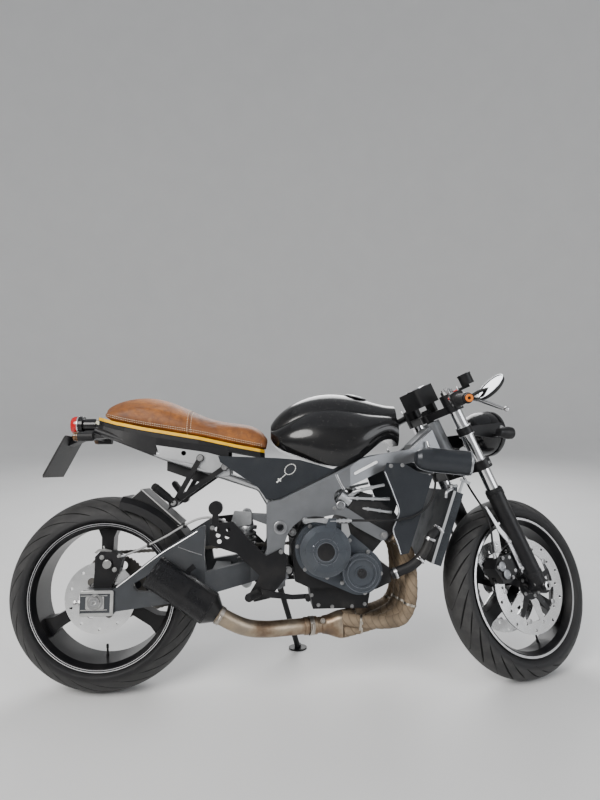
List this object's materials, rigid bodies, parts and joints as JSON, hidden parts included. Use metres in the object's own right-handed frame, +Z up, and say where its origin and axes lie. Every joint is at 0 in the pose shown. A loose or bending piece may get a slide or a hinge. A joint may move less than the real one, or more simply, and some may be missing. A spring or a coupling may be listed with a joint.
{
  "type": "cafe racer motorcycle",
  "caption": "Low road motorcycle with a humped leather seat, clip-on bars, round headlamp and short silencer, parked on its side stand with the steering turned.",
  "frame": {"origin": "on the ground, under the middle of the whole machine as it stands", "axes": "+X forward along the machine, +Y to the rider's left, +Z up from the ground"},
  "size_m": [1.98, 0.7448, 1.0338],
  "materials": {
    "chain_steel": "oiled steel",
    "frame_aluminium": "light grey cast aluminium, satin",
    "swingarm_grey": "dark grey anodised aluminium",
    "polished_steel": "hard chromed steel, polished",
    "silver_bracket": "bare machined aluminium",
    "engine_black": "matt black engine paint",
    "cover_grey": "blue-grey metallic engine covers, satin",
    "gloss_black": "deep gloss black paint with a clear coat and fine speckles",
    "tan_leather": "distressed tan-brown leather with pale stitching",
    "yellow_trim": "yellow band under the leather",
    "black_plastic": "black moulded plastic",
    "gunmetal": "satin gunmetal grey paint",
    "lamp_red": "red lens in a black shell",
    "satin_black": "satin black coated metal",
    "radiator_core": "black radiator core between bare edges",
    "wrapped_pipe": "stained stainless pipe in tan heat wrap",
    "silencer_black": "high-temperature satin black",
    "black_rubber": "black rubber",
    "lamp_black": "gloss black bowl with a clear lens",
    "tyre": "black road tyre rubber",
    "rim_black": "gloss black cast wheel with pale lines at the flange",
    "disc_steel": "ground stainless brake disc on a black carrier"
  },
  "bodies": {
    "root": {"drive_chain": "chain_steel", "frame_right": "frame_aluminium", "frame_left": "frame_aluminium", "steering_head": "frame_aluminium", "swingarm": "swingarm_grey", "rear_axle": "polished_steel", "shock_absorber": "silver_bracket", "crankcase": "engine_black", "cylinder_block": "engine_black", "right_covers": "cover_grey", "left_covers": "cover_grey", "throttle_bodies": "silver_bracket", "fuel_tank": "gloss_black", "seat": "tan_leather", "seat_trim": "yellow_trim", "seat_pan": "black_plastic", "subframe": "silver_bracket", "battery_tray": "black_plastic", "side_panels": "gunmetal", "tail_lamp": "lamp_red", "plate_holder": "black_plastic", "passenger_footrests": "satin_black", "rider_footrests": "satin_black", "radiator": "radiator_core", "radiator_shrouds": "gunmetal", "intake_scoops": "gunmetal", "exhaust_header": "wrapped_pipe", "silencer": "silencer_black", "rear_hugger": "black_plastic", "rear_caliper": "satin_black", "rear_brake_hose": "black_rubber", "clutch_cable": "black_rubber", "coolant_hose": "black_rubber", "frame_crossmember": "frame_aluminium"},
    "steering": {"lower_yoke": "satin_black", "upper_yoke": "satin_black", "fork_stanchions": "polished_steel", "fork_sliders": "satin_black", "front_axle": "polished_steel", "front_calipers": "satin_black", "handlebars": "satin_black", "hand_grips": "black_rubber", "hand_levers": "polished_steel", "mirrors": "black_plastic", "headlamp": "lamp_black", "headlamp_bracket": "satin_black", "instruments": "black_plastic", "front_brake_hoses": "black_rubber"},
    "front_wheel": {"front_tyre": "tyre", "front_rim": "rim_black", "front_discs": "disc_steel"},
    "rear_wheel": {"rear_tyre": "tyre", "rear_rim": "rim_black", "rear_disc": "disc_steel", "rear_sprocket": "chain_steel"},
    "side_stand": {"side_stand": "satin_black"}
  },
  "joints": [
    {"name": "steering", "type": "hinge", "parent": "root", "child": "steering", "pos_m": [0.68349, -0.07572, 0.27802], "axis": [-0.4032, 0.1586, 0.9013], "range_deg": [-50, 0]},
    {"name": "front_wheel_spin", "type": "hinge", "parent": "steering", "child": "front_wheel", "pos_m": [0.70836, -0.06131, 0.28661], "axis": [0.3874, -0.8627, 0.3251], "continuous": true},
    {"name": "rear_wheel_spin", "type": "hinge", "parent": "root", "child": "rear_wheel", "pos_m": [-0.679, -0.07169, 0.30628], "axis": [0.0007, -0.9848, 0.1736], "continuous": true},
    {"name": "side_stand_fold", "type": "hinge", "parent": "root", "child": "side_stand", "pos_m": [-0.11315, 0.06231, 0.26923], "axis": [0.1227, 0.9676, 0.2205], "range_deg": [0, 93.76]}
  ]
}
